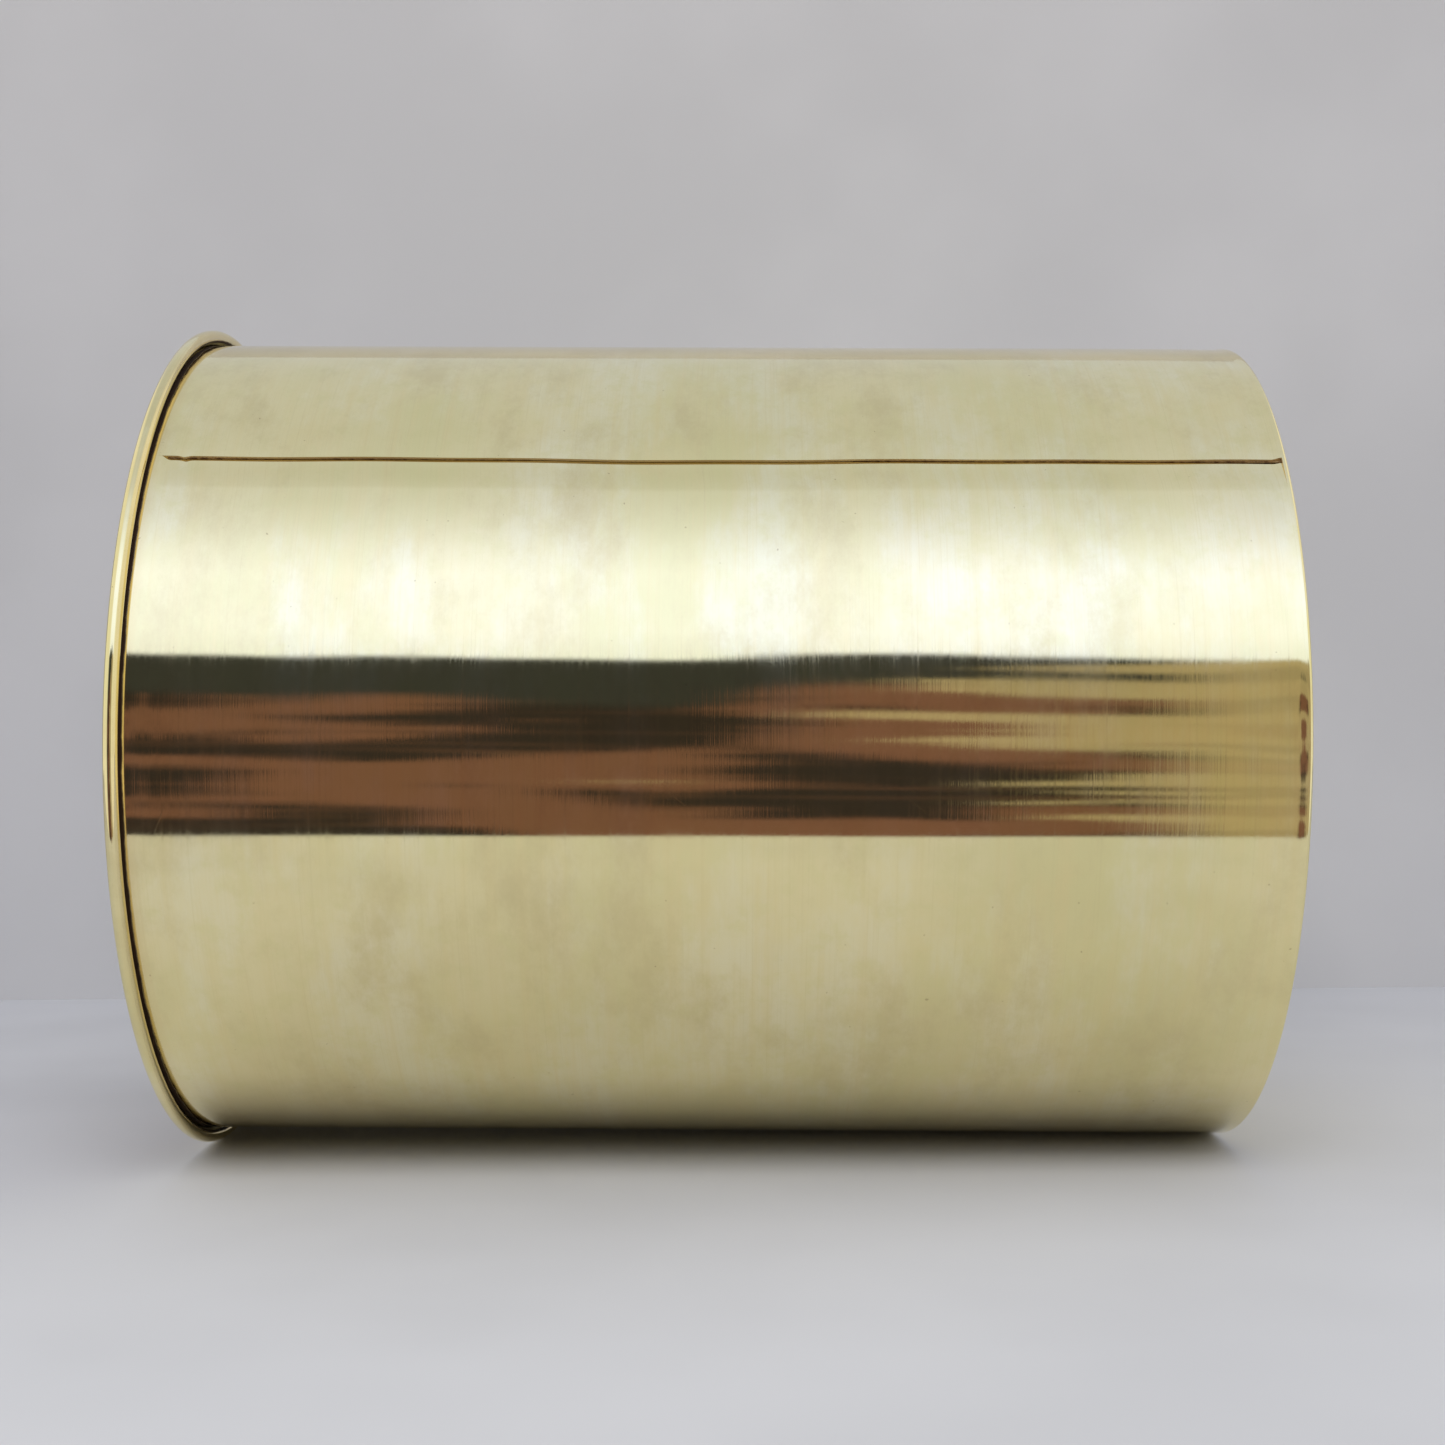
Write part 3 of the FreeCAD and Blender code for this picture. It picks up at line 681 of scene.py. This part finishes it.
# The dark card, and the streaks on it: across is per degree of elevation, and along is per unit of axial.
CARD_BLACK = (0.034, 0.028, 0.029, 1)
CARD_GREEN = (0.042, 0.045, 0.050, 1)
CARD_BROWN = (0.190, 0.098, 0.080, 1)
CARD_GOLD = (0.46, 0.39, 0.28, 1)
CARD_TOP, CARD_FOOT, FOOT_FADE = 22.5, -42.0, 8.0
TOP_WANDER, GREEN_WANDER, END_WANDER = 9.0, -30.0, 0.10
TOP_SHARP, TOP_CLEAR = -0.5, 0.7
GREEN_FOOT, GREEN_FADE = 10.0, 3.0
Streaks = namedtuple("Streaks", "across along low high strength")
WANDER = Streaks(0.0, 5.0, None, None, None)
BROWN_STREAKS = Streaks(0.10, 4.2, 0.47, 0.53, 1.0)
THREADS = Streaks(0.75, 2.4, 0.54, 0.66, 0.40)
GOLD_STREAKS = Streaks(0.21, 3.0, 0.60, 0.63, 0.85)
GOLD_FROM, GOLD_TO, GOLD_LESS, GOLD_MORE = -0.02, -0.20, -0.06, 0.10
END_STARTS, END_FULL, END_STRENGTH = 0.195, 0.225, 0.8
STREAK_DETAIL, STREAK_ROUGHNESS = 3.0, 0.55

LAMP_ELEVATION = math.radians(45)
LAMP_DISTANCE = 12 * WALL_OUT
LAMP_SIZE = 5 * WALL_OUT
LAMP_WATTS = 4.8
WORLD_MAP_SIZE = 1024


def blend(first, second, share):
    return tuple(a + (b - a) * share for a, b in zip(first, second))


def elevation_and_axial(nodes):
    """The elevation and the axial share of the direction looked at."""
    split = nodes.split(nodes.add("ShaderNodeTexCoord").outputs["Generated"])
    radians = nodes.math("ARCTAN2", split["X"], nodes.times(split["Y"], -1.0))
    return nodes.math("DEGREES", radians), split["Z"]


def streaky(nodes, elevation, axial, streaks):
    """Noise drawn out along the pot's axis."""
    place = nodes.combine(nodes.times(elevation, streaks.across), nodes.times(axial, streaks.along))
    return nodes.noise(place, 1.0, STREAK_DETAIL, STREAK_ROUGHNESS)


def soft_surround(nodes, elevation):
    """The softbox high in front, the pale surround over and behind the pot, and the fill below."""
    stops = [(-180, PALE), (FILL_FOOT, LOW_FILL), (FILL_TOP, LOW_FILL)]
    stops += [(place, blend(PALE, SOFTBOX, level)) for place, level in SOFTBOX_LEVELS] + [(180, PALE)]
    stops = [(place, tuple(c / BRIGHTEST for c in colour)) for place, colour in stops]
    colour = nodes.ramp(elevation, -180, 180, stops)
    return nodes.add("ShaderNodeVectorMath", {0: colour, 3: BRIGHTEST}, operation="SCALE").outputs[0]


def dark_card(nodes, elevation, axial, colour):
    """The dark card below the softbox: black and brown in long streaks, gold towards the base's end."""
    def where(value, streaks):
        return nodes.remap(value, streaks.low, streaks.high, 0.0, streaks.strength)

    wander = nodes.math("SUBTRACT", streaky(nodes, elevation, axial, WANDER), 0.5)
    top = nodes.math("ADD", nodes.times(wander, TOP_WANDER), CARD_TOP)
    above = nodes.math("SUBTRACT", elevation, top)
    green_side = nodes.math("ADD", elevation, nodes.times(wander, GREEN_WANDER))
    green = nodes.remap(green_side, GREEN_FOOT, GREEN_FOOT + GREEN_FADE)
    brown = where(streaky(nodes, elevation, axial, BROWN_STREAKS), BROWN_STREAKS)
    threads = where(streaky(nodes, elevation, axial, THREADS), THREADS)
    card = nodes.mix(threads, nodes.mix(brown, CARD_BLACK, CARD_BROWN), CARD_BROWN)
    card = nodes.mix(green, card, CARD_GREEN)
    toward_base = nodes.remap(axial, GOLD_FROM, GOLD_TO, GOLD_LESS, GOLD_MORE)
    gold = nodes.math("ADD", streaky(nodes, elevation, axial, GOLD_STREAKS), toward_base)
    card = nodes.mix(where(gold, GOLD_STREAKS), card, CARD_GOLD)
    past_end = nodes.math("ADD", nodes.times(axial, -1.0), nodes.times(wander, END_WANDER))
    card = nodes.mix(nodes.remap(past_end, END_STARTS, END_FULL, 0.0, END_STRENGTH), card, CARD_GOLD)
    below_top = nodes.remap(above, TOP_SHARP, TOP_CLEAR, 1.0, 0.0)
    above_foot = nodes.remap(elevation, CARD_FOOT, CARD_FOOT + FOOT_FADE)
    return nodes.mix(nodes.times(below_top, above_foot), colour, card)


def build_world():
    """Soft studio light that the pot mirrors.  The camera itself sees a plain pale backdrop."""
    world = bpy.data.worlds.new("soft_light")
    nodes = Nodes("soft_light", world)
    elevation, axial = elevation_and_axial(nodes)
    colour = dark_card(nodes, elevation, axial, soft_surround(nodes, elevation))
    open_end = nodes.remap(nodes.math("ABSOLUTE", axial), *OPEN_ENDS)
    colour = nodes.mix(open_end, colour, OPEN_END)

    lit = nodes.add("ShaderNodeBackground", {"Color": colour, "Strength": 1.0}).outputs[0]
    seen = nodes.add("ShaderNodeBackground", {"Color": PALE_BACKDROP, "Strength": 1.0}).outputs[0]
    by_camera = nodes.add("ShaderNodeLightPath").outputs["Is Camera Ray"]
    nodes.finish(nodes.add("ShaderNodeMixShader", {0: by_camera, 1: lit, 2: seen}).outputs[0])
    world.cycles.sampling_method = "MANUAL"
    world.cycles.sample_map_resolution = WORLD_MAP_SIZE
    bpy.context.scene.world = world
    bpy.context.scene.view_settings.view_transform = "Standard"


def build_overhead():
    """A soft lamp above and in front.  The brass doesn't mirror it: it lights the floor and the back wall."""
    light = bpy.data.lights.new("overhead", "AREA")
    light.size = LAMP_SIZE
    light.energy = LAMP_WATTS
    lamp = bpy.data.objects.new("overhead", light)
    bpy.context.scene.collection.objects.link(lamp)
    toward_lamp = Vector((math.sin(LAMP_ELEVATION), -math.cos(LAMP_ELEVATION), 0))
    lamp.location = Vector((FLOOR_X, 0, HEIGHT / 2)) + toward_lamp * LAMP_DISTANCE
    lamp.rotation_euler = toward_lamp.to_track_quat("Z", "Y").to_euler()
    lamp.visible_glossy = False
    lamp.visible_camera = False


# ------------------------------------------------------------------------------------------------ the camera
CAMERA_SENSOR, CAMERA_LENS = 36, 51.4
CAMERA_PLACE = Vector((0.0518, -5.3685, 1.2149)) * WALL_OUT
CAMERA_RIGHT = Vector((0.0046, 0.0082, -1.0))
CAMERA_BACK = Vector((0.0021, -1.0, -0.0082))


def build_camera():
    """The camera of the main view, rolled so that the pot's axis lies level with the mouth to the left."""
    data = bpy.data.cameras.new("camera")
    data.sensor_width = CAMERA_SENSOR
    data.lens = CAMERA_LENS
    camera = bpy.data.objects.new("camera", data)
    bpy.context.scene.collection.objects.link(camera)
    right = CAMERA_RIGHT.normalized()
    back = (CAMERA_BACK - right * CAMERA_BACK.dot(right)).normalized()
    turn = Matrix((right, back.cross(right), back)).transposed().to_4x4()
    camera.matrix_world = Matrix.Translation(CAMERA_PLACE) @ turn
    bpy.context.scene.camera = camera


build_pot()
build_stage()
build_world()
build_overhead()
build_camera()
